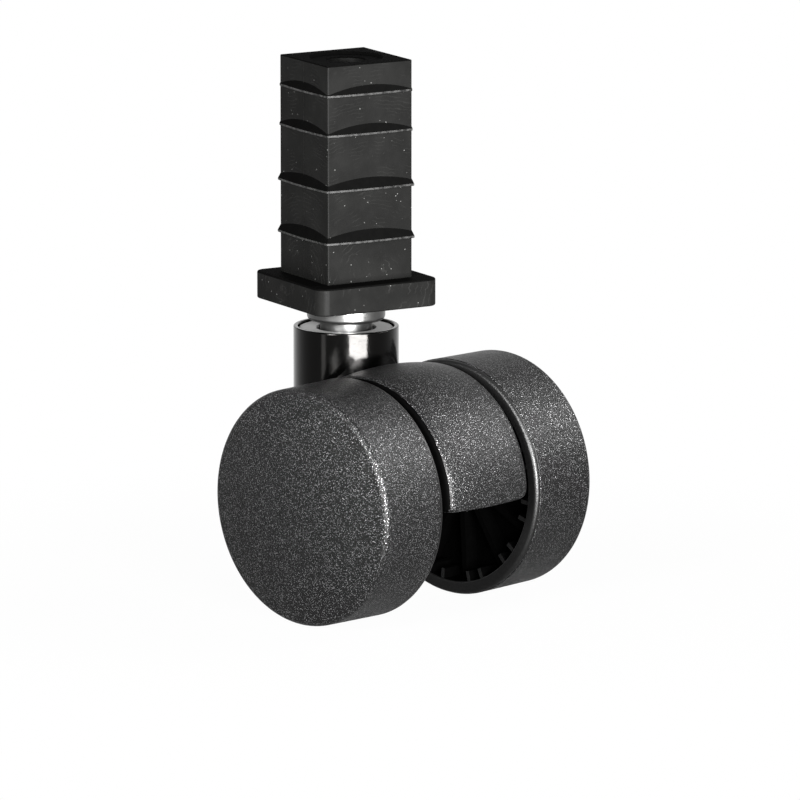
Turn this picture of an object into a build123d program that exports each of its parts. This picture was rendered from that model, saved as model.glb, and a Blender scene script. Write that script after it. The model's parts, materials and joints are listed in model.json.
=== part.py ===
from build123d import *
import math
import os

os.makedirs("parts", exist_ok=True)

# Driving dimensions in millimetres. The origin is the centre of the flange's
# upper face, on the swivel axis. +Z is up, +X points from the swivel axis to the axle.

# Insert
plug_width = 20.15
plug_height = 45.85
plug_edge_r = 0.25
insert_turn_deg = -16.1
flange_width = 28.7
flange_thick = 5.77
flange_corner_r = 2.6
flange_edge_r = 0.35
plug_hole_r = 3.95
dish_r = 7.7
dish_depth = 0.55

# Barbs: upper edge of each lip, how far it stands out at mid face and at the
# corners, and the height of the slope that runs back into the plug
barb_levels = [8.9, 19.9, 31.5, 39.8]
barb_stands = [0.95, 0.9, 0.65, 0.55]
barb_corner_stands = [0.4, 0.35, 0.1, 0.05]
barb_slopes = [2.2, 2.1, 1.8, 1.6]
barb_lip = 0.6

# King pin, its retaining ring and the thrust disc
stem_top = 30.0
collar_r = 8.2
collar_thick = 3.75
collar_edge_r = 0.9
pin_r = 5.5
pin_end = -33.0
pin_dome = 1.6
stem_chamfer = 0.8
stem_lead = 1.5
pin_groove_r = 4.7
pin_ring_thick = 1.2
pin_ring_z = -29.6
pin_ring_r = 6.3
pin_ring_slot = 1.2
ring_room = 0.6
disc_thick = 1.2

# Barrel
sleeve_r = 11.05
sleeve_wall = 0.95
sleeve_top = -10.8
sleeve_bottom = -27.0
bush_below_rim = 0.45
bush_flange_thick = 1.3
bush_edge_gap = 0.25
bush_mouth_r = 6.3
bush_mouth_depth = 1.5
bush_wall = 2.0

# Hood
axle_x = 16.8
axle_z = -43.0
hood_side_margin = 1.2
hood_over_tread = 0.7
hood_wall = 3.4
hood_crown_drop = 0.0085
hood_edge_round = 2.2
hood_front_deg = -1.3
hood_back_deg = 180.0
hood_left_corner_r = 1.0
hood_right_corner_r = 2.6
hood_lip_r = 0.7
web_thick = 5.0
boss_r = 6.2
hood_rib_thick = 1.4
hood_rib_degs = [14, 42, 70, 98]
hood_rib_inset = 1.6
column_edge_r = 1.0

# Axle, with its ends past the retaining rings
axle_r = 3.0
axle_tail = 0.5
axle_chamfer = 0.4
spacer_thick = 1.15
spacer_rim = 2.95
axle_ring_thick = 0.8
axle_ring_play = 0.6
axle_ring_r = 4.6
axle_groove_r = 2.4
axle_ring_slot = 0.9

# Wheels
tread_r = 25.0
tread_taper = 0.2
tread_width = 16.07
face_rise = 2.2
face_round = 1.4
shell_wall = 1.5
shell_face_wall = 2.0
wheel_gap = 1.75
shoulder_width = 1.0
shoulder_step = 0.15
shoulder_round = 0.8
shoulder_groove = 0.15
shoulder_groove_depth = 0.7
rim_wall = 1.3
rim_lip_round = 0.35
rim_depth = 13.0
rim_web_depth = 6.5
rim_web_thick = 1.8
hub_r = 6.0
hub_length = 15.5
hub_pocket_r = 5.1
hub_pocket_depth = 2.7
hub_bush_wall = 1.2
spoke_count = 12
spoke_thick = 1.3
spoke_inset = 3.2
teeth_per_spoke = 3
tooth_thick = 0.9
tooth_reach = 2.1
tooth_inset = 0.4
rib_turn_deg = -3.2
rib_root = 0.2

# Fits: radial running clearance, overlap of pressed pieces, end clearance
run_gap = 0.05
press = 0.02
end_gap = 0.1

# Places along the axle that follow, measured from the middle plane
hood_half_width = sleeve_r + hood_side_margin
hub_start = hood_half_width + spacer_thick + end_gap
hub_end = hub_start + hub_length
hub_pocket_at = hub_end - hub_pocket_depth
axle_ring_at = hub_pocket_at + axle_ring_play
axle_half = axle_ring_at + axle_ring_thick + axle_tail
rim_start = hood_half_width + wheel_gap
rim_web_at = rim_start + rim_web_depth
tread_start = rim_start + shoulder_width
face_edge = tread_start + tread_width

# Radii about the axle that follow
hood_crown_r = tread_r + hood_over_tread
hood_inner_r = hood_crown_r - hood_wall
cup_r = tread_r - shell_wall
rim_wall_r = cup_r - rim_wall
tooth_inner_r = rim_wall_r - tooth_reach
shoulder_r = tread_r - shoulder_step


def ring_solid(points_rz):
    """Turn a closed outline of (radius, z) points about Z."""
    outline = [(r, 0, z) for r, z in points_rz]
    return revolve(make_face(Polyline(*outline, close=True)), Axis.Z)


def tube(r_out, r_in, z_low, z_high):
    return ring_solid([(r_in, z_low), (r_out, z_low), (r_out, z_high), (r_in, z_high)])


def rod(r, z_low, z_high):
    return tube(r, 0, z_low, z_high)


def dome_point(r, z_end, rise, share):
    """A point of a shallow dome under a pin, at a share of the pin's radius."""
    return (r * share, z_end + rise * share * share)


def split_ring(r_out, r_in, z_low, z_high, slot, turn_deg):
    gap = Pos(r_out, 0, (z_low + z_high) / 2) * Box(2 * r_out, slot, z_high - z_low + 1)
    return Rot(0, 0, turn_deg) * (tube(r_out, r_in, z_low, z_high) - gap)


def to_axle(solid, side):
    """Stand a solid made about Z on the axle; side is -1 for left and +1 for right."""
    return Pos(axle_x, 0, axle_z) * Rot(-90 * side, 0, 0) * solid


def save(solid, node):
    solid.label = node
    export_step(solid, f"parts/{node}.step")


# Square insert
half_plug = plug_width / 2
plug = extrude(RectangleRounded(plug_width, plug_width, plug_edge_r), plug_height)
flange = Pos(0, 0, -flange_thick) * extrude(
    RectangleRounded(flange_width, flange_width, flange_corner_r), flange_thick
)
flange = fillet(flange.faces().sort_by(Axis.Z)[0].edges(), flange_edge_r)
flange = fillet(flange.faces().sort_by(Axis.Z)[-1].edges(), flange_edge_r)
insert = plug + flange
for level, stand, corner_stand, slope_height in zip(
    barb_levels, barb_stands, barb_corner_stands, barb_slopes
):
    corner_at = half_plug + corner_stand
    bow = stand - corner_stand
    bow_r = (corner_at * corner_at + bow * bow) / (2 * bow)
    bow_place = Pos(half_plug + stand - bow_r, 0, 0)
    lip_side = bow_place * Pos(0, 0, level - barb_lip / 2) * Cylinder(bow_r, barb_lip)
    slope_side = bow_place * Pos(0, 0, level + slope_height / 2) * Cone(
        bow_r, bow_r - stand, slope_height
    )
    lip, slope = lip_side, slope_side
    for quarter in (1, 2, 3):
        lip &= Rot(0, 0, 90 * quarter) * lip_side
        slope &= Rot(0, 0, 90 * quarter) * slope_side
    insert += [lip, slope]
insert -= rod(plug_hole_r, -flange_thick - 1, plug_height + 1)
insert -= rod(dish_r, plug_height - dish_depth, plug_height + 1)
insert = Rot(0, 0, insert_turn_deg) * insert
save(insert, "square_insert")

# King pin with its retaining ring
collar_bottom = -flange_thick - collar_thick
stem_r = plug_hole_r + press
ring_low = pin_ring_z - pin_ring_thick / 2
ring_high = pin_ring_z + pin_ring_thick / 2
king_pin = ring_solid(
    [
        (0, stem_top),
        (stem_r - stem_chamfer, stem_top),
        (stem_r, stem_top - stem_lead),
        (stem_r, -flange_thick),
        (collar_r, -flange_thick),
        (collar_r, collar_bottom),
        (pin_r, collar_bottom),
        (pin_r, ring_high + run_gap),
        (pin_groove_r, ring_high + run_gap),
        (pin_groove_r, ring_low - run_gap),
        (pin_r, ring_low - run_gap),
        *[dome_point(pin_r, pin_end, pin_dome, share) for share in (1, 0.75, 0.5, 0.25, 0)],
    ]
)
collar_edge = [
    e for e in king_pin.edges().filter_by(GeomType.CIRCLE)
    if abs(e.radius - collar_r) < 0.01 and abs(e.center().Z - collar_bottom) < 0.01
]
king_pin = fillet(collar_edge, collar_edge_r)
save(king_pin, "king_pin")
pin_ring = split_ring(pin_ring_r, pin_groove_r - press, ring_low, ring_high, pin_ring_slot, 200)
save(pin_ring, "pin_ring")

# Sleeve, bush and thrust disc of the barrel
sleeve_inner_r = sleeve_r - sleeve_wall
save(tube(sleeve_r, sleeve_inner_r, sleeve_bottom, sleeve_top), "barrel_sleeve")

bush_top = sleeve_top - bush_below_rim
neck_top = bush_top - bush_flange_thick
bush_bore_r = pin_r + run_gap
bush_out_r = bush_bore_r + bush_wall
bush_bottom = ring_high + ring_room
bush = ring_solid(
    [
        (bush_mouth_r, bush_top),
        (sleeve_inner_r - bush_edge_gap, bush_top),
        (sleeve_inner_r - bush_edge_gap, neck_top),
        (bush_out_r, neck_top),
        (bush_out_r, bush_bottom),
        (bush_bore_r, bush_bottom),
        (bush_bore_r, bush_top - bush_mouth_depth),
        (bush_mouth_r, bush_top - bush_mouth_depth),
    ]
)
save(bush, "swivel_bush")

disc_top = pin_end - run_gap
disc_r = pin_r + 2 * run_gap
save(rod(disc_r + press, disc_top - disc_thick, disc_top), "thrust_disc")

# Hood body: crowned shell, web, boss, ribs, column and neck in one moulding


def front_point(y, r):
    """A point of the hood's outline, on the half plane of its front lower edge."""
    return (r * math.cos(front_angle), y, r * math.sin(front_angle))


front_angle = math.radians(hood_front_deg)
side_start = hood_half_width - hood_edge_round
side_r = hood_crown_r - hood_crown_drop * side_start * side_start
side_low_r = side_r - hood_edge_round
bend = hood_edge_round * math.sin(math.radians(45))
crown_ys = [side_start * step / 6 for step in range(-6, 7)]
crown = Spline(*[front_point(y, hood_crown_r - hood_crown_drop * y * y) for y in crown_ys])
sides = [
    ThreePointArc(
        front_point(side * side_start, side_r),
        front_point(side * (side_start + bend), side_low_r + bend),
        front_point(side * hood_half_width, side_low_r),
    )
    for side in (-1, 1)
]
under = Polyline(
    front_point(-hood_half_width, side_low_r),
    front_point(-hood_half_width, hood_inner_r),
    front_point(hood_half_width, hood_inner_r),
    front_point(hood_half_width, side_low_r),
)
shell_face = make_face([crown.edge(), *[s.edge() for s in sides], *under.edges()])
shell = revolve(shell_face, Axis((0, 0, 0), (0, -1, 0)), hood_back_deg - hood_front_deg)

# Rounded lip and lower corners of the front edge
front_plane = Plane(origin=(0, 0, 0), z_dir=(math.sin(front_angle), 0, -math.cos(front_angle)))
lip_edges = [
    e for e in shell.edges()
    if abs(front_plane.to_local_coords(e @ 0.5).Z) < 0.01 and (e @ 0.5).X > side_low_r
]
shell = fillet(lip_edges, hood_lip_r)
front_z = hood_crown_r * math.sin(front_angle)
for side, corner_r in ((-1, hood_left_corner_r), (1, hood_right_corner_r)):
    corner = Pos(0, side * (hood_half_width - corner_r), front_z + corner_r) * extrude(
        Plane.YZ * (
            Pos(side * corner_r, -corner_r) * Rectangle(2 * corner_r, 2 * corner_r)
            - Circle(corner_r)
        ),
        2 * hood_crown_r,
    )
    shell -= corner

web_sector = Pos(0, web_thick / 2, 0) * Rot(90, 0, 0) * extrude(
    Circle(hood_inner_r + 0.5) & Pos(0, hood_inner_r) * Rectangle(3 * hood_inner_r, 2 * hood_inner_r),
    web_thick,
)
boss = Rot(90, 0, 0) * Cylinder(boss_r, 2 * hood_half_width)
body = shell + web_sector + boss
rib_half = hood_half_width - hood_rib_inset
for rib_deg in hood_rib_degs:
    rib = Pos((boss_r + hood_inner_r) / 2, 0, 0) * Box(
        hood_inner_r - boss_r + 1, 2 * rib_half, hood_rib_thick
    )
    body += Rot(0, -rib_deg, 0) * rib
body = Pos(axle_x, 0, axle_z) * body

column = rod(sleeve_r, axle_z, sleeve_bottom)
column = chamfer(column.faces().sort_by(Axis.Z)[0].edges(), column_edge_r)
body += column
body -= rod(sleeve_r + run_gap, sleeve_bottom, 0)
body += rod(sleeve_inner_r + press, sleeve_bottom, neck_top)
body -= rod(bush_out_r - press, bush_bottom, 0)
body -= rod(pin_ring_r + ring_room, ring_low - ring_room, bush_bottom)
body -= rod(disc_r, disc_top - disc_thick, ring_low - ring_room)
body -= to_axle(rod(axle_r - press, -hood_half_width - 1, hood_half_width + 1), 1)
save(body, "hood_body")

# Axle, spacers and retaining rings
groove_low = axle_ring_at - run_gap
groove_high = axle_ring_at + axle_ring_thick + run_gap
axle_half_outline = [
    (0, 0),
    (axle_r, 0),
    (axle_r, groove_low),
    (axle_groove_r, groove_low),
    (axle_groove_r, groove_high),
    (axle_r, groove_high),
    (axle_r, axle_half - axle_chamfer),
    (axle_r - axle_chamfer, axle_half),
    (0, axle_half),
]
half_axle = ring_solid(axle_half_outline)
save(to_axle(half_axle, 1) + to_axle(half_axle, -1), "axle")
spacer = tube(axle_r + spacer_rim, axle_r + run_gap, hood_half_width, hood_half_width + spacer_thick)
axle_ring = split_ring(
    axle_ring_r, axle_groove_r - press, axle_ring_at, axle_ring_at + axle_ring_thick,
    axle_ring_slot, 75,
)

# Wheel shell: tread and domed face in one cup
tread_end_r = tread_r - tread_taper
face_r = tread_end_r - face_round
round_bend = face_round * math.sin(math.radians(45))


def dome(edge_r, edge_z, rise):
    """Arc from the edge of a domed face to its centre, in radius and z."""
    ball_r = (edge_r * edge_r + rise * rise) / (2 * rise)
    middle_r = edge_r / 2
    middle_z = edge_z + rise - ball_r + math.sqrt(ball_r * ball_r - middle_r * middle_r)
    return ThreePointArc((edge_r, 0, edge_z), (middle_r, 0, middle_z), (0, 0, edge_z + rise))


outer_dome = dome(face_r, face_edge, face_rise)
inner_dome = dome(cup_r - face_round, face_edge - shell_face_wall, face_rise)
shell_lines = [
    Line((cup_r, 0, tread_start), (tread_r, 0, tread_start)),
    Line((tread_r, 0, tread_start), (tread_end_r, 0, face_edge - face_round)),
    ThreePointArc(
        (tread_end_r, 0, face_edge - face_round),
        (face_r + round_bend, 0, face_edge - face_round + round_bend),
        (face_r, 0, face_edge),
    ),
    outer_dome,
    Line((0, 0, face_edge + face_rise), (0, 0, face_edge + face_rise - shell_face_wall)),
    inner_dome,
    Line(
        (cup_r - face_round, 0, face_edge - shell_face_wall),
        (cup_r, 0, face_edge - shell_face_wall - face_round),
    ),
    Line((cup_r, 0, face_edge - shell_face_wall - face_round), (cup_r, 0, tread_start)),
]
wheel_shell = revolve(make_face([line.edge() for line in shell_lines]), Axis.Z)

# Wheel rim: shoulder, wall, web, hub, spokes and short teeth
wall_out_r = cup_r + press
web_end = rim_web_at + rim_web_thick
hub_bush_out_r = axle_r + run_gap + hub_bush_wall
groove_r = shoulder_r - shoulder_groove_depth
groove_at = tread_start - shoulder_groove
wheel_rim = ring_solid(
    [
        (rim_wall_r, rim_start),
        (shoulder_r, rim_start),
        (shoulder_r, groove_at),
        (groove_r, groove_at),
        (groove_r, tread_start + press),
        (wall_out_r, tread_start + press),
        (wall_out_r, rim_start + rim_depth),
        (rim_wall_r, rim_start + rim_depth),
        (rim_wall_r, web_end),
        (hub_r, web_end),
        (hub_r, hub_end),
        (hub_pocket_r, hub_end),
        (hub_pocket_r, hub_pocket_at),
        (hub_bush_out_r, hub_pocket_at),
        (hub_bush_out_r, hub_start),
        (hub_r, hub_start),
        (hub_r, rim_web_at),
        (rim_wall_r, rim_web_at),
    ]
)
for edge_r, rounding in ((shoulder_r, shoulder_round), (rim_wall_r, rim_lip_round)):
    mouth_edge = [
        e for e in wheel_rim.edges().filter_by(GeomType.CIRCLE)
        if abs(e.radius - edge_r) < 0.01 and abs(e.center().Z - rim_start) < 0.01
    ]
    wheel_rim = fillet(mouth_edge, rounding)


def wheel_rib(inner_r, inset, thick):
    """One upright rib on the web, from an inner radius to the rim's wall."""
    low = rim_start + inset
    height = rim_web_at + rib_root - low
    return Pos((inner_r + rim_wall_r + rib_root) / 2, 0, low + height / 2) * Box(
        rim_wall_r + rib_root - inner_r, thick, height
    )


spoke = wheel_rib(hub_r - rib_root, spoke_inset, spoke_thick)
tooth = wheel_rib(tooth_inner_r, tooth_inset, tooth_thick)
rib_count = spoke_count * teeth_per_spoke
wheel_rim += [
    Rot(0, 0, rib_turn_deg + 360 * i / rib_count) * (tooth if i % teeth_per_spoke else spoke)
    for i in range(rib_count)
]
hub_bush = tube(hub_bush_out_r + press, axle_r + run_gap, hub_start, hub_pocket_at)

for name, side in (("left", -1), ("right", 1)):
    save(to_axle(wheel_shell, side), f"{name}_wheel_shell")
    save(to_axle(wheel_rim, side), f"{name}_wheel_rim")
    save(to_axle(hub_bush, side), f"{name}_hub_bush")
    save(to_axle(spacer, side), f"{name}_spacer")
    save(to_axle(axle_ring, side), f"{name}_axle_ring")
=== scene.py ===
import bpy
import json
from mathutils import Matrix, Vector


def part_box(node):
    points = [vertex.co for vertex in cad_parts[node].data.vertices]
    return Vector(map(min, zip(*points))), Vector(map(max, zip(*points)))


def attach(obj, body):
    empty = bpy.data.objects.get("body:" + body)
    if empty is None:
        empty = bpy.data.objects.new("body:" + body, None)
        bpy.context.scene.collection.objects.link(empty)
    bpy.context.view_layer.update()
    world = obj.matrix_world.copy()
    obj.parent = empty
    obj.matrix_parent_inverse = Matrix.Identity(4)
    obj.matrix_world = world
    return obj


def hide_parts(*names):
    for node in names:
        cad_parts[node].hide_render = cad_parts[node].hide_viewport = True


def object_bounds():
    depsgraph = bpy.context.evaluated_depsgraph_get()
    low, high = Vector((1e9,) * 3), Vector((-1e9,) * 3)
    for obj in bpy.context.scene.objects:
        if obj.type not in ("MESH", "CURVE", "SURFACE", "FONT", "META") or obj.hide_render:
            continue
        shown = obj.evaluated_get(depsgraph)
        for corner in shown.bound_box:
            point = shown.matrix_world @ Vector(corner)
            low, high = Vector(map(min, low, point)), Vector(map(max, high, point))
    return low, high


bl_info = {
    "name": "Twin Wheel Castor",
    "version": (1, 0, 0),
    "blender": (4, 2, 0),
    "location": "View3D > Sidebar > Castor",
    "description": "Dresses the castor's CAD frame with finished pieces, materials and a plain stage",
    "category": "Object",
}

import json
import math

import bmesh
import bpy
from mathutils import Matrix, Vector

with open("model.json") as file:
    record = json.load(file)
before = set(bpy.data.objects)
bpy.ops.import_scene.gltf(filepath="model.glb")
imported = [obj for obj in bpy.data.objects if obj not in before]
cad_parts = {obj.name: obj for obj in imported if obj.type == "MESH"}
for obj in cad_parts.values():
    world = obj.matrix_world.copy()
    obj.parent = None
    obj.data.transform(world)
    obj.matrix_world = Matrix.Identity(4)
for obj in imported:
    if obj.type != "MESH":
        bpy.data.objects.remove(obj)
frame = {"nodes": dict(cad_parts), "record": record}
cad_low, cad_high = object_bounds()
MM = 0.001

insert_low, insert_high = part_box("square_insert")
sleeve_low, sleeve_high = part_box("barrel_sleeve")
hood_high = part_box("hood_body")[1]
shell_low, shell_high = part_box("right_wheel_shell")
rim_low, rim_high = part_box("right_wheel_rim")
WHEEL_CENTRE = (shell_low + shell_high) / 2
AXLE = Vector((WHEEL_CENTRE.x, 0.0, WHEEL_CENTRE.z))

# Below these a length or an area, in metres, counts as nothing
NO_LENGTH = 1e-9
NO_AREA = 1e-16
# Half of a corner that is too blunt to be rounded
BLUNT = math.radians(89.5)

# Barbs from the flange up: level, stand at mid face, stand at the corners and slope, in mm
BARBS = ((8.9, 0.95, 0.4, 2.2), (19.9, 0.9, 0.35, 2.1), (31.5, 0.65, 0.1, 1.8), (39.8, 0.55, 0.05, 1.6))
# Degrees from a corner of the plug at which its rings have points, coarse and fine
COARSE_BEARINGS = range(-40, 41, 5)
FINE_BEARINGS = (0, 0.4, 0.9, 1.4, 2, 3, 4.5, 6, 8)

# Wheel: walls of the cup and its face, and the rim's depth, web and groove
CUP_WALL = 1.5 * MM
FACE_WALL = 2.0 * MM
RIM_DEPTH = 13.0 * MM
RIM_WEB = 1.8 * MM
GROOVE_DEPTH = 0.7 * MM
# Hub: its bore, the pocket for the axle's ring, and where pocket and hub start and end
HUB_BORE = 4.25 * MM
HUB_POCKET = 5.1 * MM
POCKET_START = 26.3 * MM
HUB_END = 29.0 * MM
# Swivel bush: thickness of its flange, depth of its mouth, and its radii
BUSH_FLANGE = 1.3 * MM
BUSH_MOUTH_DEPTH = 1.5 * MM
BUSH_OUTER = 7.55 * MM
BUSH_BORE = 5.55 * MM
# Hood: the pin's bore, how far the column lies below the sleeve's rim, the bearings of the
# ribs and how far they stay back from the sides
PIN_BORE = 5.6 * MM
PIN_BORE_END = -34.0 * MM
COLUMN_BELOW_RIM = 1.75 * MM
HOOD_RIBS = (14, 42, 70, 98)
HOOD_RIB_INSET = 1.6 * MM
# How far ribs and web reach into the walls that hold them
BITE = 0.4 * MM

# Lamps: name, bearing in degrees, distance, size, height and brightness
LAMPS = (
    ("key_softbox", -28, 0.6, (0.3, 0.22), 0.03, 290.0),
    ("low_card", -19.5, 0.62, (0.44, 0.05), -0.14, 160.0),
    ("front_fill", -78, 0.7, (0.2, 0.2), 0.22, 280.0),
    ("left_strip", -96, 0.6, (0.1, 0.08), -0.14, 5.0),
    ("top_softbox", 55, 0.6, (0.25, 0.25), 0.36, 56.0),
)
LAMP_TARGET = Vector((0.008, 0.0, -0.025))


def length(name, description, default, **more):
    return bpy.props.FloatProperty(
        name=name, description=description, default=default, unit="LENGTH", precision=5, **more
    )


def angle(name, description, degrees):
    return bpy.props.FloatProperty(
        name=name, description=description, default=math.radians(degrees), subtype="ANGLE"
    )


def colour(name, description, default):
    return bpy.props.FloatVectorProperty(
        name=name, description=description, default=default, subtype="COLOR", min=0.0, max=1.0
    )


class CastorInsertSettings(bpy.types.PropertyGroup):
    turn: angle("Turn", "Angle of the square insert about the swivel axis", -16.1)
    plug_width: length("Plug width", "Width of the square plug", 20.15 * MM)
    plug_height: length("Plug height", "Height of the plug above the flange", insert_high.z)
    plug_edge: length("Plug edge radius", "Rounding of the plug's upright edges", 0.25 * MM)
    flange_width: length("Flange width", "Width of the square flange", 28.7 * MM)
    flange_thick: length("Flange thickness", "Thickness of the flange", -insert_low.z)
    flange_corner: length("Flange corner radius", "Rounding of the flange's corners", 2.6 * MM)
    flange_edge: length("Flange edge radius", "Rounding of the flange's level edges", 0.35 * MM)
    hole_radius: length("Hole radius", "Radius of the hole in the plug's top", 3.95 * MM)
    dish_radius: length("Dish radius", "Radius of the dish round the hole", 7.7 * MM)
    dish_depth: length("Dish depth", "Depth of the dish round the hole", 0.55 * MM)
    lip: length("Barb lip", "Thickness of a barb's lip", 0.6 * MM)
    seam: length("Parting line", "Width of the mould's parting line", 0.16 * MM)


class CastorBarrelSettings(bpy.types.PropertyGroup):
    sleeve_radius: length(
        "Sleeve radius", "Outer radius of the sleeve", (sleeve_high.x - sleeve_low.x) / 2
    )
    sleeve_wall: length("Sleeve wall", "Wall of the sleeve", 0.95 * MM)
    rim_round: length("Rim rounding", "Rounding of the sleeve's rim", 0.25 * MM)
    bush_below: length("Bush below rim", "How far the bush's face lies below the rim", 0.45 * MM)
    bush_gap: length("Bush gap", "Gap between the bush's flange and the sleeve", 0.25 * MM)
    bush_mouth: length("Bush mouth radius", "Radius of the bush's counterbore", 6.3 * MM)
    collar_radius: length("Collar radius", "Radius of the king pin's collar", 8.2 * MM)
    collar_thick: length("Collar thickness", "Thickness of the king pin's collar", 3.75 * MM)
    collar_round: length("Collar rounding", "Rounding of the collar's lower edge", 0.9 * MM)
    pin_radius: length("Pin radius", "Radius of the king pin", 5.5 * MM)


class CastorHoodSettings(bpy.types.PropertyGroup):
    half_width: length("Half width", "Half of the hood's width", hood_high.y)
    crown_radius: length("Crown radius", "Radius of the hood at its middle", hood_high.x - AXLE.x)
    crown_drop: bpy.props.FloatProperty(
        name="Crown drop", description="Fall of the crown in mm for each square mm from the middle",
        default=0.0085, precision=5,
    )
    side_round: length("Side rounding", "Rounding of the hood's side edges", 2.2 * MM)
    inner_radius: length("Inner radius", "Radius of the hood's hollow", 22.3 * MM)
    front: angle("Front edge", "Angle of the hood's front lower edge about the axle", -1.3)
    left_corner: length("Left corner radius", "Rounding of the front edge's left corner", 1.0 * MM)
    right_corner: length("Right corner radius", "Rounding of the front edge's right corner", 2.6 * MM)
    lip_round: length("Lip rounding", "Rounding of the hood's lower lip", 0.7 * MM)
    web_thick: length("Web thickness", "Thickness of the middle web", 5.0 * MM)
    boss_radius: length("Boss radius", "Radius of the axle boss", 6.2 * MM)
    rib_thick: length("Rib thickness", "Thickness of the ribs inside the hood", 1.4 * MM)


class CastorWheelSettings(bpy.types.PropertyGroup):
    tread_radius: length("Tread radius", "Radius of the wheel", (shell_high.z - shell_low.z) / 2)
    tread_taper: length("Tread taper", "Loss of radius towards the face", 0.2 * MM)
    tread_start: length("Tread start", "Where the tread starts, from the middle plane", shell_low.y)
    face_edge: length("Face edge", "Where the face's edge lies, from the middle plane", 31.07 * MM)
    face_round: length("Face rounding", "Rounding between tread and face", 1.4 * MM)
    face_top: length("Face top", "Where the face's middle lies, from the middle plane", shell_high.y)
    rim_start: length("Rim start", "Where the rim's shoulder starts, from the middle plane", 14.0 * MM)
    rim_radius: length("Rim radius", "Radius of the rim's shoulder", (rim_high.z - rim_low.z) / 2)
    shoulder_round: length("Shoulder rounding", "Rounding of the rim's shoulder", 0.8 * MM)
    groove: length("Groove", "Width of the groove between rim and tread", 0.15 * MM)
    rim_wall: length("Rim wall radius", "Inner radius of the rim's wall", 22.2 * MM)
    web_at: length("Web place", "Where the rim's web lies, from the middle plane", 20.5 * MM)
    hub_radius: length("Hub radius", "Radius of the hub", 6.0 * MM)
    hub_start: length("Hub start", "Where the hub starts, from the middle plane", 13.5 * MM)
    tooth_radius: length("Tooth radius", "Inner radius of the short ribs", 20.1 * MM)
    rib_turn: angle("Rib turn", "Turn of all ribs about the axle", -3.2)
    spokes: bpy.props.IntProperty(name="Spokes", description="Number of long ribs", default=12)
    teeth: bpy.props.IntProperty(name="Short ribs", description="Number of all ribs", default=36)


class CastorFinishSettings(bpy.types.PropertyGroup):
    grain_valley: colour("Grain valleys", "Colour between the crests", (0.001, 0.001, 0.001))
    grain_crest: colour("Grain crests", "Colour of the grain's crests", (0.0008, 0.0008, 0.00082))
    grain_fleck: colour("Grain flecks", "Colour of the shiny flecks", (0.13, 0.13, 0.1315))
    insert_black: colour("Insert black", "Colour of the insert", (0.0011, 0.0011, 0.00105))
    # Also used at a quarter strength for the painted highlight on the barbs' lips
    nick: colour("Nick", "Colour of the insert's small nicks", (0.03, 0.03, 0.029))
    sleeve_metal: colour("Sleeve metal", "Colour of the sleeve", (0.008, 0.0078, 0.0076))
    zinc: colour("Zinc", "Colour of the king pin", (0.07, 0.07, 0.069))
    bush_grey: colour("Bush grey", "Colour of the bush", (0.08, 0.08, 0.079))
    # Near black, darker than the other plastics: the rims' own black with painted shade for the wheels'
    # hollows and the hood's sides
    rim_black_with_shade: colour("Rim black", "Colour of the wheel rims", (0.0001, 0.0001, 0.0001))


class CastorStageSettings(bpy.types.PropertyGroup):
    camera_place: bpy.props.FloatVectorProperty(
        name="Camera place", description="Where the camera stands",
        default=(1.26008, -1.29444, 0.32340), unit="LENGTH", precision=5,
    )
    camera_turn: angle("Camera turn", "Turn of the camera about the upright", 43.872)
    camera_pitch: angle("Camera pitch", "How far the camera looks down", 10.973)
    camera_lens: bpy.props.FloatProperty(
        name="Lens", description="Focal length of the camera in mm", default=395.163, precision=3
    )
    floor_radius: length("Floor radius", "Radius of the round floor", 0.2)


def rounded(corners, steps=5):
    """Points of a closed outline whose corners are (x, y, radius), with the corners rounded."""
    points = []
    count = len(corners)
    for i, (x, y, radius) in enumerate(corners):
        here = Vector((x, y))
        before = Vector(corners[i - 1][:2]) - here
        after = Vector(corners[(i + 1) % count][:2]) - here
        if radius <= 0 or before.length < NO_LENGTH or after.length < NO_LENGTH:
            points.append((x, y))
            continue
        before.normalize()
        after.normalize()
        half = before.angle(after) / 2
        if half > BLUNT:
            points.append((x, y))
            continue
        reach = radius / math.tan(half)
        centre = here + (before + after).normalized() * (radius / math.sin(half))
        start = here + before * reach - centre
        end = here + after * reach - centre
        turn = start.angle_signed(end)
        first = math.atan2(start.y, start.x)
        for k in range(steps + 1):
            at = first - turn * k / steps
            points.append((centre.x + radius * math.cos(at), centre.y + radius * math.sin(at)))
    return points


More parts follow.
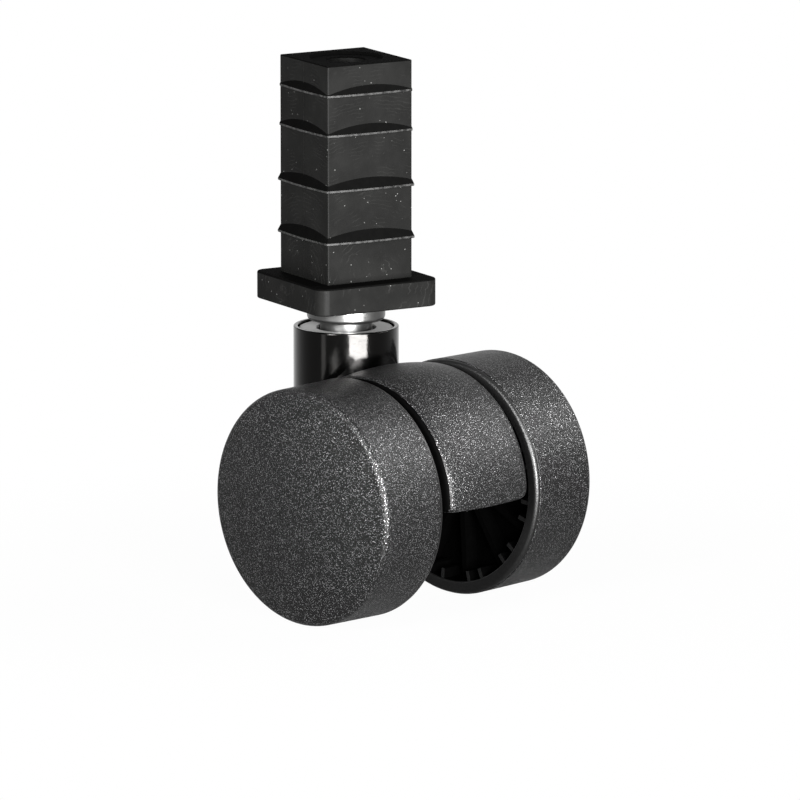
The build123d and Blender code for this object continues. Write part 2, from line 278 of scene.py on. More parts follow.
class Builder:
    """Collects the faces of one piece, which may be several closed forms."""

    def __init__(self):
        self.mesh = bmesh.new()

    def grid(self, rows, wrap_rows=False, wrap_columns=True, cap_ends=False):
        """Skin rows of points; each row has the same number of points."""
        made = [[self.mesh.verts.new(p) for p in row] for row in rows]
        columns = len(made[0])
        row_count = len(made) if wrap_rows else len(made) - 1
        column_count = columns if wrap_columns else columns - 1
        for i in range(row_count):
            a, b = made[i], made[(i + 1) % len(made)]
            for j in range(column_count):
                k = (j + 1) % columns
                self.mesh.faces.new((a[j], a[k], b[k], b[j]))
        if cap_ends:
            self.mesh.faces.new(list(reversed(made[0])))
            self.mesh.faces.new(made[-1])
        return made

    def turned(self, outline, segments, place=Matrix.Identity(4)):
        """Turn a closed (radius, z) outline about Z; points on the axis become poles."""
        rows = []
        for k in range(segments):
            at = 2 * math.pi * k / segments
            c, s = math.cos(at), math.sin(at)
            rows.append([place @ Vector((r * c, r * s, z)) for r, z in outline])
        self.grid(rows, wrap_rows=True)
        return self

    def block(self, low, high, place=Matrix.Identity(4)):
        """A straight block between two corners."""
        (x0, y0, z0), (x1, y1, z1) = low, high
        corners = ((x0, y0), (x1, y0), (x1, y1), (x0, y1))
        rows = [[place @ Vector((x, y, z)) for x, y in corners] for z in (z0, z1)]
        self.grid(rows, cap_ends=True)
        return self

    def piece(self, name, body, slot, nodes, material, sharp_deg=38, merge=2e-7):
        """Finish the mesh and hang it on its CAD body in place of its CAD nodes; edges that
        bend more than sharp_deg stay sharp, and points nearer than merge become one."""
        bmesh.ops.remove_doubles(self.mesh, verts=self.mesh.verts, dist=merge)
        flat = [f for f in self.mesh.faces if f.calc_area() < NO_AREA]
        bmesh.ops.delete(self.mesh, geom=flat, context="FACES_ONLY")
        bmesh.ops.recalc_face_normals(self.mesh, faces=self.mesh.faces)
        limit = math.radians(sharp_deg)
        for f in self.mesh.faces:
            f.smooth = True
        for e in self.mesh.edges:
            e.smooth = e.calc_face_angle(0.0) < limit
        data = bpy.data.meshes.new(name)
        self.mesh.to_mesh(data)
        self.mesh.free()
        obj = bpy.data.objects.new(name, data)
        bpy.context.scene.collection.objects.link(obj)
        data.materials.append(material)
        flatten = obj.modifiers.new("flat_faces", "WEIGHTED_NORMAL")
        flatten.keep_sharp = True
        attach(obj, body)
        if nodes:
            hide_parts(*nodes)
        return obj


class Value:
    """A socket of a material's node, with Python's operators as Math nodes."""

    def __init__(self, finish, socket):
        self.finish = finish
        self.socket = socket

    def math(self, operation, other):
        return self.finish.node("ShaderNodeMath", {"operation": operation}, {0: self, 1: other})

    def __add__(self, other):
        return self.math("ADD", other)

    __radd__ = __add__

    def __mul__(self, other):
        return self.math("MULTIPLY", other)

    __rmul__ = __mul__

    def step(self, low, high):
        """0 below low, 1 above high and smooth between."""
        return self.finish.node(
            "ShaderNodeMapRange",
            {"interpolation_type": "SMOOTHSTEP"},
            {"Value": self, "From Min": low, "From Max": high},
        )


class Finish:
    """A material under construction."""

    def __init__(self, name):
        self.material = bpy.data.materials.new(name)
        self.material.use_nodes = True
        self.tree = self.material.node_tree
        self.tree.nodes.clear()

    def node(self, kind, settings=None, inputs=None, output=0):
        """Add a node; inputs are numbers, colours or other nodes' values."""
        made = self.tree.nodes.new(kind)
        for key, value in (settings or {}).items():
            setattr(made, key, value)
        for key, value in (inputs or {}).items():
            if isinstance(value, Value):
                self.tree.links.new(value.socket, made.inputs[key])
            else:
                made.inputs[key].default_value = value
        return Value(self, made.outputs[output]) if len(made.outputs) else None

    def place(self):
        """Object coordinates, in metres, so that a finish stays on its piece as it moves."""
        return self.node("ShaderNodeTexCoord", output="Object")

    def noise(self, scale, detail, rough):
        """Cloudy noise between 0 and 1; scale is in lumps for each metre."""
        return self.node(
            "ShaderNodeTexNoise", {},
            {"Vector": self.place(), "Scale": scale, "Detail": detail, "Roughness": rough},
        )

    def cells(self, scale):
        """Distance from the nearest of scattered points, as a share of a cell."""
        return self.node(
            "ShaderNodeTexVoronoi", {"feature": "F1"}, {"Vector": self.place(), "Scale": scale}
        )

    def blend(self, share, first, second):
        """The first colour where share is 0 and the second where it is 1."""
        return self.node(
            "ShaderNodeMix", {"data_type": "RGBA"}, {"Factor": share, 6: first, 7: second}, output=2
        )

    def bump(self, height, strength, distance):
        """A normal that leans with the slope of a height; distance is in metres."""
        return self.node(
            "ShaderNodeBump", {}, {"Height": height, "Strength": strength, "Distance": distance}
        )

    def surface(self, **inputs):
        """Close the material with one Principled shader."""
        names = {key.replace("_", " "): value for key, value in inputs.items()}
        shader = self.node("ShaderNodeBsdfPrincipled", {}, names)
        self.node("ShaderNodeOutputMaterial", {}, {"Surface": shader})
        return self.material


def rgba(value, scale=1.0):
    return (*(channel * scale for channel in value), 1.0)


def grained_plastic(name, colours):
    """Dark moulded plastic with a fine grain and small shiny flecks on its crests."""
    f = Finish(name)
    grain = f.noise(4200, detail=0.5, rough=0.5)
    coarse = f.noise(1500, detail=1.0, rough=0.5)
    height = grain * 0.8 + coarse * 0.2
    crest = height.step(0.5, 0.6)
    fleck = f.cells(4200).step(0.35, 0.23) * height.step(0.49, 0.55)
    base = f.blend(crest, rgba(colours.grain_valley), rgba(colours.grain_crest))
    base = f.blend(fleck, base, rgba(colours.grain_fleck))
    normal = f.bump(grain * 0.8 + coarse * 0.4, strength=1.0, distance=0.00016)
    return f.surface(
        Base_Color=base, Metallic=fleck, Roughness=0.36, Normal=normal, Specular_IOR_Level=0.065
    )


def insert_plastic(name, colours):
    """Black moulded plastic with faint clouds, fine curved scuffs and a few pale nicks."""
    f = Finish(name)
    clouds = f.noise(130, detail=3.0, rough=0.6)
    fine = f.noise(2600, detail=2.0, rough=0.6)
    arcs = f.node(
        "ShaderNodeTexWave", {"wave_type": "RINGS", "rings_direction": "SPHERICAL"},
        {"Vector": f.place(), "Scale": 420.0, "Distortion": 5.0, "Detail": 2.0, "Detail Scale": 1.5},
        output=1,
    )
    scuff = arcs.step(0.86, 1.0) * f.noise(230, detail=1.0, rough=0.5).step(0.5, 0.62)
    rub = f.noise(900, detail=2.0, rough=0.7).step(0.60, 0.78)
    nick = f.cells(600).step(0.09, 0.05)
    share = clouds.step(0.35, 0.7) * 0.25 + rub * 0.2 + scuff * 0.45
    base = f.blend(share, rgba(colours.insert_black), rgba(colours.insert_black, 3.0))
    base = f.blend(nick * 0.8, base, rgba(colours.nick))
    rough = 0.42 + 0.12 * clouds
    normal = f.bump(fine * 0.5 + clouds * 2.0 + scuff, strength=0.3, distance=0.00008)
    return f.surface(Base_Color=base, Roughness=rough, Normal=normal, Specular_IOR_Level=0.015)


def insert_painted_shade(name, colours):
    """Painted shade on the insert's upward faces, the flange and plug tops and the barbs' slopes: the
    insert's black at a fifth to a half, matt and almost without gloss.
    """
    f = Finish(name)
    cloud = f.noise(700, detail=2.0, rough=0.6)
    base = f.blend(cloud, rgba(colours.insert_black, 0.2), rgba(colours.insert_black, 0.5))
    normal = f.bump(cloud, strength=0.2, distance=0.0001)
    return f.surface(
        Base_Color=base, Roughness=0.6 + 0.2 * cloud, Normal=normal, Specular_IOR_Level=0.004
    )


def insert_lip_highlight(name, colours):
    """The barbs' thin upright edges, paler in random patches and a little shiny: a painted highlight
    along the lips.
    """
    f = Finish(name)
    rub = f.noise(900, detail=3.0, rough=0.7).step(0.38, 0.62)
    base = f.blend(rub, rgba(colours.insert_black), rgba(colours.nick, 0.25))
    return f.surface(Base_Color=base, Roughness=0.4 + 0.1 * rub, Specular_IOR_Level=0.08)


def dark_metal(name, colours):
    """Polished dark nickel with faint smears."""
    f = Finish(name)
    smear = f.noise(260, detail=2.0, rough=0.6)
    rough = 0.08 + 0.09 * smear
    normal = f.bump(f.noise(900, detail=2.0, rough=0.6), strength=0.15, distance=0.00008)
    return f.surface(
        Base_Color=rgba(colours.sleeve_metal), Metallic=1.0, Roughness=rough, Normal=normal
    )


def zinc_metal(name, colours):
    """Zinc plated steel, turned and slightly dull."""
    f = Finish(name)
    cloud = f.noise(420, detail=2.0, rough=0.6)
    base = f.blend(cloud, rgba(colours.zinc, 0.8), rgba(colours.zinc))
    rough = 0.24 + 0.18 * cloud
    normal = f.bump(f.noise(1500, detail=1.0, rough=0.5), strength=0.08, distance=0.00006)
    return f.surface(Base_Color=base, Metallic=1.0, Roughness=rough, Normal=normal)


def ring_steel(name, colours):
    """Oiled steel of the hidden rings, disc and axle."""
    f = Finish(name)
    cloud = f.noise(500, detail=2.0, rough=0.6)
    base = f.blend(cloud, rgba(colours.zinc, 0.35), rgba(colours.zinc, 0.5))
    return f.surface(Base_Color=base, Metallic=1.0, Roughness=0.3 + 0.15 * cloud)


def bush_plastic(name, colours):
    """Plain grey moulded plastic."""
    f = Finish(name)
    cloud = f.noise(500, detail=2.0, rough=0.6)
    base = f.blend(cloud, rgba(colours.bush_grey, 0.85), rgba(colours.bush_grey))
    normal = f.bump(cloud, strength=0.1, distance=0.0001)
    return f.surface(Base_Color=base, Roughness=0.42 + 0.1 * cloud, Normal=normal)


def rim_plastic(name, colours):
    """Smooth black plastic of the wheels' inner rims, darker than the other plastics as painted shade
    in the wheels' hollows; the hood's sides take it as painted shade too.
    """
    f = Finish(name)
    cloud = f.noise(700, detail=2.0, rough=0.6)
    base = f.blend(cloud, rgba(colours.rim_black_with_shade), rgba(colours.rim_black_with_shade, 1.8))
    normal = f.bump(cloud, strength=0.12, distance=0.0001)
    return f.surface(
        Base_Color=base, Roughness=0.4 + 0.2 * cloud, Normal=normal, Specular_IOR_Level=0.003
    )


def rim_lip(name, colours):
    """The rims' lips, rubbed shiny."""
    f = Finish(name)
    rub = f.noise(1500, detail=2.0, rough=0.6)
    normal = f.bump(f.noise(3700, detail=0.5, rough=0.5), strength=1.0, distance=0.00006)
    return f.surface(
        Base_Color=rgba(colours.rim_black_with_shade), Roughness=0.36 + 0.12 * rub, Normal=normal,
        Specular_IOR_Level=0.17,
    )


MAKERS = {
    "insert_plastic": insert_plastic,
    "insert_painted_shade": insert_painted_shade,
    "insert_lip_highlight": insert_lip_highlight,
    "zinc_steel": zinc_metal,
    "ring_steel": ring_steel,
    "dark_metal": dark_metal,
    "bush_plastic": bush_plastic,
    "hood_plastic": grained_plastic,
    "wheel_plastic": grained_plastic,
    "rim_plastic": rim_plastic,
    "rim_lip": rim_lip,
}
made_finishes = {}


def finish(kind):
    """The material of one finish, made once."""
    if kind not in made_finishes:
        made_finishes[kind] = MAKERS[kind](kind, bpy.context.scene.castor_finish)
    return made_finishes[kind]


def square_ring(half, corner, z, bearings, turn):
    """A rounded square seen at the given bearings from its centre."""
    points = []
    for at in bearings:
        c, s = abs(math.cos(at)), abs(math.sin(at))
        big, small = max(c, s), min(c, s)
        reach = half / big
        if small * reach > half - corner:
            inner = half - corner
            along = inner * (big + small)
            reach = along + math.sqrt(max(along * along - 2 * inner * inner + corner * corner, 0.0))
        points.append(turn @ Vector((reach * math.cos(at), reach * math.sin(at), z)))
    return points


def circle_ring(radius, z, bearings, turn):
    return [turn @ Vector((radius * math.cos(at), radius * math.sin(at), z)) for at in bearings]


class CASTOR_OT_insert(bpy.types.Operator):
    """Build the square plug with its flange and barbs"""

    bl_idname = "castor.insert"
    bl_label = "Square insert"

    def execute(self, context):
        s = context.scene.castor_insert
        turn = Matrix.Rotation(s.turn, 4, "Z")
        bearings = self.bearings()

        def square(half, corner, z):
            return square_ring(half, corner, z, bearings, turn)

        def circle(radius, z):
            return circle_ring(radius, z, bearings, turn)

        half, flange_half = s.plug_width / 2, s.flange_width / 2
        top, thick, edge = s.plug_height, s.flange_thick, s.flange_edge
        bevel = 0.22 * MM
        quarter_turn = [math.radians(90 * k / 4) for k in range(5)]
        rows = [circle(s.hole_radius, -thick)]
        for at in quarter_turn:
            inset = edge * (1 - math.sin(at))
            z = -thick + edge * (1 - math.cos(at))
            rows.append(square(flange_half - inset, s.flange_corner - inset, z))
        for at in quarter_turn:
            inset = edge * (1 - math.cos(at))
            z = -edge + edge * math.sin(at)
            rows.append(square(flange_half - inset, s.flange_corner - inset, z))
        rows.append(square(half, s.plug_edge, 0.0))
        for at in quarter_turn:
            inset = bevel * (1 - math.cos(at))
            corner = max(s.plug_edge - inset, 0.1 * MM)
            rows.append(square(half - inset, corner, top - bevel + bevel * math.sin(at)))
        bottom = top - s.dish_depth
        rows += [
            circle(s.dish_radius + 0.15 * MM, top),
            circle(s.dish_radius, top - 0.12 * MM),
            circle(s.dish_radius - 0.3 * MM, bottom),
            circle(s.hole_radius + 0.25 * MM, bottom),
            circle(s.hole_radius, bottom - 0.3 * MM),
        ]
        build = Builder()
        build.grid(rows, wrap_rows=True)
        for barb in BARBS:
            self.barb(build, s, *(size * MM for size in barb), turn)
        for quarter in (1, 3):
            side = turn @ Matrix.Rotation(math.radians(90 * quarter), 4, "Z")
            build.block(
                (half - 0.2 * MM, -s.seam / 2, 0.3 * MM),
                (half + 0.06 * MM, s.seam / 2, top - 0.3 * MM), side,
            )
        piece = build.piece(
            "insert_moulding", "insert", "insert_plastic", ["square_insert"],
            finish("insert_plastic"), 30,
        )
        piece.data.materials.append(finish("insert_painted_shade"))
        piece.data.materials.append(finish("insert_lip_highlight"))
        for face in piece.data.polygons:
            # Upward faces take the darker finish, as painted shade
            if face.normal.z > 0.15:
                face.material_index = 1
            # The barbs' thin upright edges take the paler finish, as a painted highlight
            elif self.on_lip(face, s, turn):
                face.material_index = 2
        return {"FINISHED"}

    def bearings(self):
        """Bearings of a ring's points, which lie closest at the plug's corners."""
        fine = {side * step for side in (-1, 1) for step in FINE_BEARINGS}
        offsets = [math.radians(d) for d in sorted({*COARSE_BEARINGS, *fine})]
        corners = [math.radians(45 + 90 * quarter) for quarter in range(4)]
        return sorted({round((at + d) % (2 * math.pi), 7) for at in corners for d in offsets})

    def on_lip(self, face, s, turn):
        """Whether a face is the thin upright edge of a barb."""
        at = turn.inverted() @ face.center
        proud = max(abs(at.x), abs(at.y)) > s.plug_width / 2 + 0.01 * MM
        return proud and at.z > 1.0 * MM and abs(face.normal.z) < 0.15 and face.area < 2.5e-6

    def barb(self, build, s, level, stand, corner_stand, slope, turn):
        """One lip round the plug: bowed sides, a thin edge and a slope back into the faces."""
        half = s.plug_width / 2
        corner = half + corner_stand
        bow = stand - corner_stand
        bow_r = (corner ** 2 + bow ** 2) / (2 * bow)
        edge = 0.1 * MM
        sunk = stand + 0.3 * MM
        under = level - s.lip
        rows = []
        for inset, z in (
            (sunk, under), (edge, under), (0.0, under + edge), (0.0, level - edge),
            (edge * 0.6, level), (stand, level + slope), (sunk, level + slope),
        ):
            row = []
            reach = corner - inset
            for quarter in range(4):
                place = turn @ Matrix.Rotation(math.radians(90 * quarter), 4, "Z")
                for k in range(24):
                    t = reach * (k / 12 - 1)
                    out = half + stand - inset - bow_r + math.sqrt(bow_r ** 2 - t ** 2)
                    row.append(place @ Vector((min(out, half + stand - inset), t, z)))
            rows.append(row)
        build.grid(rows, cap_ends=True)


class CASTOR_OT_barrel(bpy.types.Operator):
    """Build the king pin, the dark sleeve and the grey bush inside it"""

    bl_idname = "castor.barrel"
    bl_label = "Barrel and king pin"

    def execute(self, context):
        s = context.scene.castor_barrel
        insert = context.scene.castor_insert
        pin_low, pin_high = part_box("king_pin")
        under = -insert.flange_thick
        collar_low = under - s.collar_thick
        pin = rounded([
            (0.0, pin_high.z, 0), (insert.hole_radius, pin_high.z, 0.8 * MM),
            (insert.hole_radius, under, 0), (s.collar_radius, under, 0.15 * MM),
            (s.collar_radius, collar_low, s.collar_round), (s.pin_radius, collar_low, 0.3 * MM),
            (s.pin_radius, pin_low.z + 1.2 * MM, 0), (s.pin_radius * 0.6, pin_low.z + 0.2 * MM, 2 * MM),
            (0.0, pin_low.z, 0),
        ])
        Builder().turned(pin, 96).piece(
            "king_pin_turned", "insert", "zinc_steel", ["king_pin"], finish("zinc_steel")
        )

        outer, inner = s.sleeve_radius, s.sleeve_radius - s.sleeve_wall
        top, bottom = sleeve_high.z, sleeve_low.z
        sleeve = rounded([
            (inner, bottom, 0), (outer, bottom, 0),
            (outer, top, s.rim_round), (inner, top, s.rim_round),
        ])
        Builder().turned(sleeve, 128).piece(
            "sleeve_polished", "castor", "dark_metal", ["barrel_sleeve"], finish("dark_metal")
        )

        face = top - s.bush_below
        step = face - BUSH_FLANGE
        mouth_end = face - BUSH_MOUTH_DEPTH
        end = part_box("swivel_bush")[0].z
        flange = inner - s.bush_gap
        bush = rounded([
            (s.bush_mouth, face, 0.15 * MM), (flange, face, 0.2 * MM), (flange, step, 0),
            (BUSH_OUTER, step, 0), (BUSH_OUTER, end, 0), (BUSH_BORE, end, 0),
            (BUSH_BORE, mouth_end, 0), (s.bush_mouth, mouth_end, 0),
        ])
        Builder().turned(bush, 96).piece(
            "bush_moulded", "castor", "bush_plastic", ["swivel_bush"], finish("bush_plastic")
        )
        return {"FINISHED"}


class CASTOR_OT_hood(bpy.types.Operator):
    """Build the crowned hood with its web, ribs, boss and column"""

    bl_idname = "castor.hood"
    bl_label = "Hood"

    def execute(self, context):
        s = context.scene.castor_hood
        barrel = context.scene.castor_barrel
        build = Builder()
        self.shell(build, s)
        self.web(build, s, s.web_thick / 2)
        self.boss_and_ribs(build, s)
        outer = barrel.sleeve_radius
        inner = outer - barrel.sleeve_wall
        top = sleeve_high.z - COLUMN_BELOW_RIM
        column = rounded([
            (0.0, AXLE.z, 0), (outer, AXLE.z, 1.0 * MM), (outer, sleeve_low.z, 0),
            (inner, sleeve_low.z, 0), (inner, top, 0), (PIN_BORE, top, 0),
            (PIN_BORE, PIN_BORE_END, 0), (0.0, PIN_BORE_END, 0),
        ])
        build.turned(column, 96)
        hood = build.piece(
            "hood_moulding", "castor", "hood_plastic", ["hood_body"], finish("hood_plastic"), 34
        )
        self.paint_side_shade(hood, s)
        return {"FINISHED"}

    def boss_and_ribs(self, build, s):
        """The axle's boss and the ribs that run from it to the wall."""
        centre = Matrix.Translation(AXLE)
        boss = rounded([
            (0.0, -s.half_width, 0), (s.boss_radius, -s.half_width, 0.3 * MM),
            (s.boss_radius, s.half_width, 0.3 * MM), (0.0, s.half_width, 0),
        ])
        build.turned(boss, 64, centre @ Matrix.Rotation(math.radians(-90), 4, "X"))
        half, thick = s.half_width - HOOD_RIB_INSET, s.rib_thick / 2
        for degrees in HOOD_RIBS:
            place = centre @ Matrix.Rotation(math.radians(-degrees), 4, "Y")
            build.block(
                (s.boss_radius - BITE, -half, -thick), (s.inner_radius + BITE, half, thick), place
            )

    def paint_side_shade(self, hood, s):
        """Paint shade on the wall's sides, which face the wheels: they take the smooth near-black rim
        finish as painted shade in the gaps between hood and wheels.
        """
        hood.data.materials.append(finish("rim_plastic"))
        for face in hood.data.polygons:
            # Faces near the sides take the near-black finish as painted shade
            if abs(face.center.y) > s.half_width - 0.3 * s.side_round:
                face.material_index = 1

    def shell(self, build, s):
        """The crowned wall, swept about the axle from the front lower edge to the back."""
        radius = s.crown_radius
        arc_length = radius * (math.pi - s.front)
        distances = [s.lip_round * (1 - math.cos(math.radians(d))) for d in (0, 18, 36, 54, 72, 90)]
        corner = s.right_corner
        distances += [corner * k / 14 for k in range(3, 15) if corner * k / 14 > s.lip_round]
        steps = 150
        distances += [corner + (arc_length - corner) * k / steps for k in range(1, steps + 1)]
        rows = []
        for d in distances:
            at = s.front + d / radius
            left = -s.half_width + self.corner_inset(s.left_corner, d)
            right = s.half_width - self.corner_inset(s.right_corner, d)
            inset = 0.0
            if d < s.lip_round:
                inset = s.lip_round - math.sqrt(max(s.lip_round ** 2 - (s.lip_round - d) ** 2, 0.0))
            rows.append([
                AXLE + Vector((r * math.cos(at), y, r * math.sin(at)))
                for y, r in self.outline(s, left, right, inset)
            ])
        build.grid(rows, cap_ends=True)

    def corner_inset(self, radius, d):
        """How far a rounded corner draws the side in, at a distance from the front edge."""
        if d >= radius:
            return 0.0
        return radius - math.sqrt(max(radius ** 2 - (radius - d) ** 2, 0.0))

    def outline(self, s, left, right, inset):
        """Outline of the wall between its two sides, as (y, radius)."""
        side = s.side_round
        turns = [math.radians(d) for d in range(10, 91, 10)]
        low_flat, high_flat = left + side, right - side
        points = []
        for k in range(25):
            y = low_flat + (high_flat - low_flat) * k / 24
            points.append((y, self.crown(s, y) - inset))
        edge_r = self.crown(s, high_flat) - inset
        for a in turns:
            points.append((high_flat + side * math.sin(a), edge_r - side * (1 - math.cos(a))))
        low = min(s.inner_radius + 0.6 * inset, edge_r - side - 0.05 * MM)
        points += [(right, low), (left, low)]
        edge_r = self.crown(s, low_flat) - inset
        for a in reversed(turns):
            points.append((low_flat - side * math.sin(a), edge_r - side * (1 - math.cos(a))))
        return points

    def crown(self, s, y):
        return s.crown_radius - s.crown_drop * y * y / MM

    def web(self, build, s, half):
        """The middle web that joins shell, boss and column."""
        outer = s.inner_radius + BITE
        steps = [math.pi * k / 48 for k in range(49)]
        ring = [Vector((outer * math.cos(a), 0, outer * math.sin(a))) for a in steps]
        rows = [[AXLE + p + Vector((0, y, 0)) for p in ring] for y in (-half, half)]
        build.grid(rows, cap_ends=True)


class CASTOR_OT_wheels(bpy.types.Operator):
    """Build both wheels: grained shell and black inner rim"""

    bl_idname = "castor.wheels"
    bl_label = "Wheels"

    def execute(self, context):
        s = context.scene.castor_wheels
        for side, name in ((-1, "left"), (1, "right")):
            place = Matrix.Translation(AXLE) @ Matrix.Rotation(math.radians(-90 * side), 4, "X")
            body = f"{name}_wheel"
            self.shell(s, place).piece(
                f"{name}_wheel_cup", body, "wheel_plastic", [f"{name}_wheel_shell"],
                finish("wheel_plastic"), 34,
            )
            core = self.rim(s, place).piece(
                f"{name}_wheel_core", body, "rim_plastic", [f"{name}_wheel_rim"],
                finish("rim_plastic"), 30,
            )
            self.shine_lip(core, s, place)
        return {"FINISHED"}

    def shell(self, s, place):
        """Tread and domed face as one cup."""
        tread, begin, edge = s.tread_radius, s.tread_start, s.face_edge
        end_r = tread - s.tread_taper
        edge_r = end_r - s.face_round
        shoulder = edge - s.face_round
        rise = s.face_top - edge
        ball = (edge_r ** 2 + rise ** 2) / (2 * rise)
        cup_r = tread - CUP_WALL
        outline = [(cup_r, begin), (tread - 0.1 * MM, begin), (tread, begin + 0.1 * MM)]
        for k in range(1, 5):
            outline.append((tread + (end_r - tread) * k / 4, begin + (shoulder - begin) * k / 4))
        for d in range(8, 91, 8):
            a = math.radians(d)
            outline.append((edge_r + s.face_round * math.cos(a), shoulder + s.face_round * math.sin(a)))
        for k in range(17):
            r = edge_r * (1 - k / 16)
            outline.append((r, edge + rise - ball + math.sqrt(ball ** 2 - r ** 2)))
        inside = s.face_top - FACE_WALL
        outline += [
            (0.0, inside), (cup_r * 0.5, inside - 0.5 * MM),
            (cup_r - 1.4 * MM, edge - FACE_WALL), (cup_r, edge - FACE_WALL - 1.4 * MM),
        ]
        return Builder().turned(outline, 192, place)

    def rim(self, s, place):
        """Shoulder, wall, web and hub, with long and short ribs."""
        start, wall, hub = s.rim_start, s.rim_wall, s.hub_radius
        cup_r = s.tread_radius - CUP_WALL
        deep = start + RIM_DEPTH
        groove_at = s.tread_start - s.groove
        groove_r = s.rim_radius - GROOVE_DEPTH
        web_end = s.web_at + RIM_WEB
        outline = rounded([
            (wall, start, 0.35 * MM), (s.rim_radius, start, s.shoulder_round),
            (s.rim_radius, groove_at, 0), (groove_r, groove_at, 0), (groove_r, s.tread_start, 0),
            (cup_r, s.tread_start, 0), (cup_r, deep, 0), (wall, deep, 0), (wall, web_end, 0),
            (hub, web_end, 0), (hub, HUB_END, 0), (HUB_POCKET, HUB_END, 0),
            (HUB_POCKET, POCKET_START, 0), (HUB_BORE, POCKET_START, 0), (HUB_BORE, s.hub_start, 0),
            (hub, s.hub_start, 0.3 * MM), (hub, s.web_at, 0), (wall, s.web_at, 0),
        ])
        build = Builder().turned(outline, 144, place)
        for k in range(s.teeth):
            long = k % (s.teeth // s.spokes) == 0
            inner = hub - 0.3 * MM if long else s.tooth_radius
            half = (0.65 if long else 0.45) * MM
            low = start + (3.2 if long else 0.4) * MM
            turn = place @ Matrix.Rotation(s.rib_turn + 2 * math.pi * k / s.teeth, 4, "Z")
            build.block((inner, -half, low), (wall + 0.2 * MM, half, s.web_at + 0.2 * MM), turn)
        return build

    def shine_lip(self, core, s, place):
        """Give the rim's lip and the ends of its ribs the shinier finish."""
        core.data.materials.append(finish("rim_lip"))
        back = place.inverted()
        for face in core.data.polygons:
            at = back @ face.center
            reach = math.hypot(at.x, at.y)
            lip = reach > s.rim_wall + 0.3 * MM and at.z < s.tread_start
            rib_end = reach > s.tooth_radius and at.z < s.rim_start + 0.5 * MM
            if lip or rib_end:
                face.material_index = 1


class CASTOR_OT_inner_parts(bpy.types.Operator):
    """Give the rings, bushes, spacers, disc and axle their finishes"""

    bl_idname = "castor.inner_parts"
    bl_label = "Inner parts"

    def execute(self, context):
        for row in frame["record"]["subparts"]:
            node = frame["nodes"][row["node"]]
            if node.hide_render:
                continue
            node.data.materials.clear()
            node.data.materials.append(finish(row["material_slot"]))
        return {"FINISHED"}


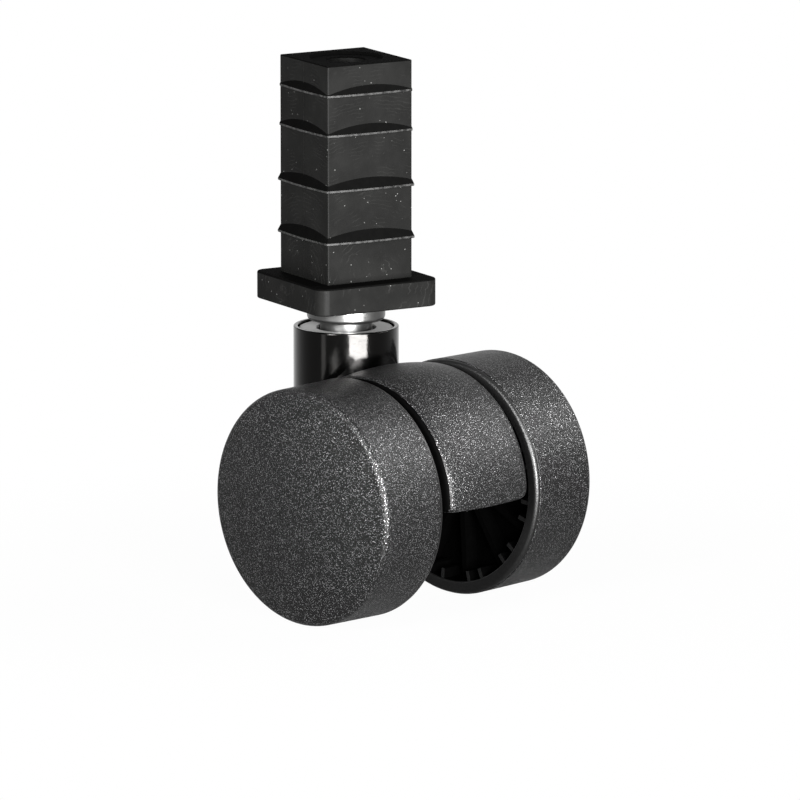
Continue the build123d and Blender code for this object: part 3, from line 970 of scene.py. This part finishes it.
class CASTOR_OT_stage(bpy.types.Operator):
    """Set up the camera, the floor and the soft studio light"""

    bl_idname = "castor.stage"
    bl_label = "Stage"

    def execute(self, context):
        s = context.scene.castor_stage
        scene = context.scene
        scene.view_settings.view_transform = "Standard"
        self.camera(scene, s)
        self.floor(s)
        self.world(scene)
        for lamp in LAMPS:
            self.softbox(*lamp)
        return {"FINISHED"}

    def camera(self, scene, s):
        data = bpy.data.cameras.new("camera")
        data.sensor_width = 36.0
        data.lens = s.camera_lens
        data.clip_start, data.clip_end = 0.05, 20.0
        camera = bpy.data.objects.new("camera", data)
        scene.collection.objects.link(camera)
        camera.matrix_world = (
            Matrix.Translation(Vector(s.camera_place))
            @ Matrix.Rotation(s.camera_turn, 4, "Z")
            @ Matrix.Rotation(math.radians(90) - s.camera_pitch, 4, "X")
        )
        scene.camera = camera

    def floor(self, s):
        """A plain white disc, which keeps a little of the castor's shadow."""
        build = bmesh.new()
        bmesh.ops.create_circle(build, cap_ends=True, segments=128, radius=s.floor_radius)
        data = bpy.data.meshes.new("floor")
        build.to_mesh(data)
        build.free()
        floor = bpy.data.objects.new("floor", data)
        floor.location = (0.01, 0.0, cad_low.z - 0.0003)
        bpy.context.scene.collection.objects.link(floor)
        f = Finish("floor_white")
        matt = f.node("ShaderNodeBsdfDiffuse", {}, {"Color": (0.12, 0.12, 0.12, 1.0)})
        glow = f.node("ShaderNodeEmission", {}, {"Color": (1.0, 1.0, 1.0, 1.0), "Strength": 1.0})
        seen = f.node("ShaderNodeLightPath", output="Is Camera Ray")
        away = f.node("ShaderNodeVectorMath", {"operation": "LENGTH"}, {0: f.place()}, output=1)
        share = seen * (0.97 + 0.03 * away.step(0.05, 0.16))
        mixed = f.node("ShaderNodeMixShader", {}, {0: share, 1: matt, 2: glow})
        f.node("ShaderNodeOutputMaterial", {}, {"Surface": mixed})
        data.materials.append(f.material)

    def world(self, scene):
        """White to the camera and in reflections, and soft as a light."""
        world = bpy.data.worlds.new("studio")
        scene.world = world
        world.use_nodes = True
        tree = world.node_tree
        tree.nodes.clear()
        paths = tree.nodes.new("ShaderNodeLightPath")
        soft = tree.nodes.new("ShaderNodeBackground")
        soft.inputs["Strength"].default_value = 0.05
        white = tree.nodes.new("ShaderNodeBackground")
        white.inputs["Strength"].default_value = 1.0
        for background in (soft, white):
            background.inputs["Color"].default_value = (1.0, 1.0, 1.0, 1.0)
        mix = tree.nodes.new("ShaderNodeMixShader")
        out = tree.nodes.new("ShaderNodeOutputWorld")
        shown = tree.nodes.new("ShaderNodeMath")
        shown.operation = "MAXIMUM"
        also = tree.nodes.new("ShaderNodeMath")
        also.operation = "MAXIMUM"
        tree.links.new(paths.outputs["Is Camera Ray"], shown.inputs[0])
        tree.links.new(paths.outputs["Is Glossy Ray"], shown.inputs[1])
        tree.links.new(shown.outputs[0], also.inputs[0])
        tree.links.new(paths.outputs["Is Transmission Ray"], also.inputs[1])
        tree.links.new(also.outputs[0], mix.inputs[0])
        tree.links.new(soft.outputs[0], mix.inputs[1])
        tree.links.new(white.outputs[0], mix.inputs[2])
        tree.links.new(mix.outputs[0], out.inputs["Surface"])

    def softbox(self, name, bearing, distance, size, height, glow):
        """A panel that stands at a bearing from +X and faces the castor; glow is its brightness."""
        at = math.radians(bearing)
        place = Vector((distance * math.cos(at), distance * math.sin(at), height))
        data = bpy.data.lights.new(name, "AREA")
        data.shape = "RECTANGLE"
        data.size, data.size_y = size
        data.energy = glow * math.pi * size[0] * size[1]
        lamp = bpy.data.objects.new(name, data)
        lamp.location = place
        lamp.rotation_mode = "QUATERNION"
        lamp.rotation_quaternion = (LAMP_TARGET - place).to_track_quat("-Z", "Y")
        bpy.context.scene.collection.objects.link(lamp)


class CASTOR_PT_panel(bpy.types.Panel):
    bl_label = "Twin Wheel Castor"
    bl_idname = "CASTOR_PT_panel"
    bl_space_type = "VIEW_3D"
    bl_region_type = "UI"
    bl_category = "Castor"

    def draw(self, context):
        for operator in OPERATORS:
            self.layout.operator(operator.bl_idname)


OPERATORS = (
    CASTOR_OT_insert,
    CASTOR_OT_barrel,
    CASTOR_OT_hood,
    CASTOR_OT_wheels,
    CASTOR_OT_inner_parts,
    CASTOR_OT_stage,
)
SETTINGS = {
    "castor_insert": CastorInsertSettings,
    "castor_barrel": CastorBarrelSettings,
    "castor_hood": CastorHoodSettings,
    "castor_wheels": CastorWheelSettings,
    "castor_finish": CastorFinishSettings,
    "castor_stage": CastorStageSettings,
}


def register():
    for group in SETTINGS.values():
        bpy.utils.register_class(group)
    for operator in (*OPERATORS, CASTOR_PT_panel):
        bpy.utils.register_class(operator)
    for name, group in SETTINGS.items():
        setattr(bpy.types.Scene, name, bpy.props.PointerProperty(type=group))


def unregister():
    for name in SETTINGS:
        delattr(bpy.types.Scene, name)
    for group in (*reversed((*OPERATORS, CASTOR_PT_panel)), *SETTINGS.values()):
        bpy.utils.unregister_class(group)


def main():
    register()
    bpy.ops.castor.insert()
    bpy.ops.castor.barrel()
    bpy.ops.castor.hood()
    bpy.ops.castor.wheels()
    bpy.ops.castor.inner_parts()
    bpy.ops.castor.stage()


if __name__ == "__main__":
    main()
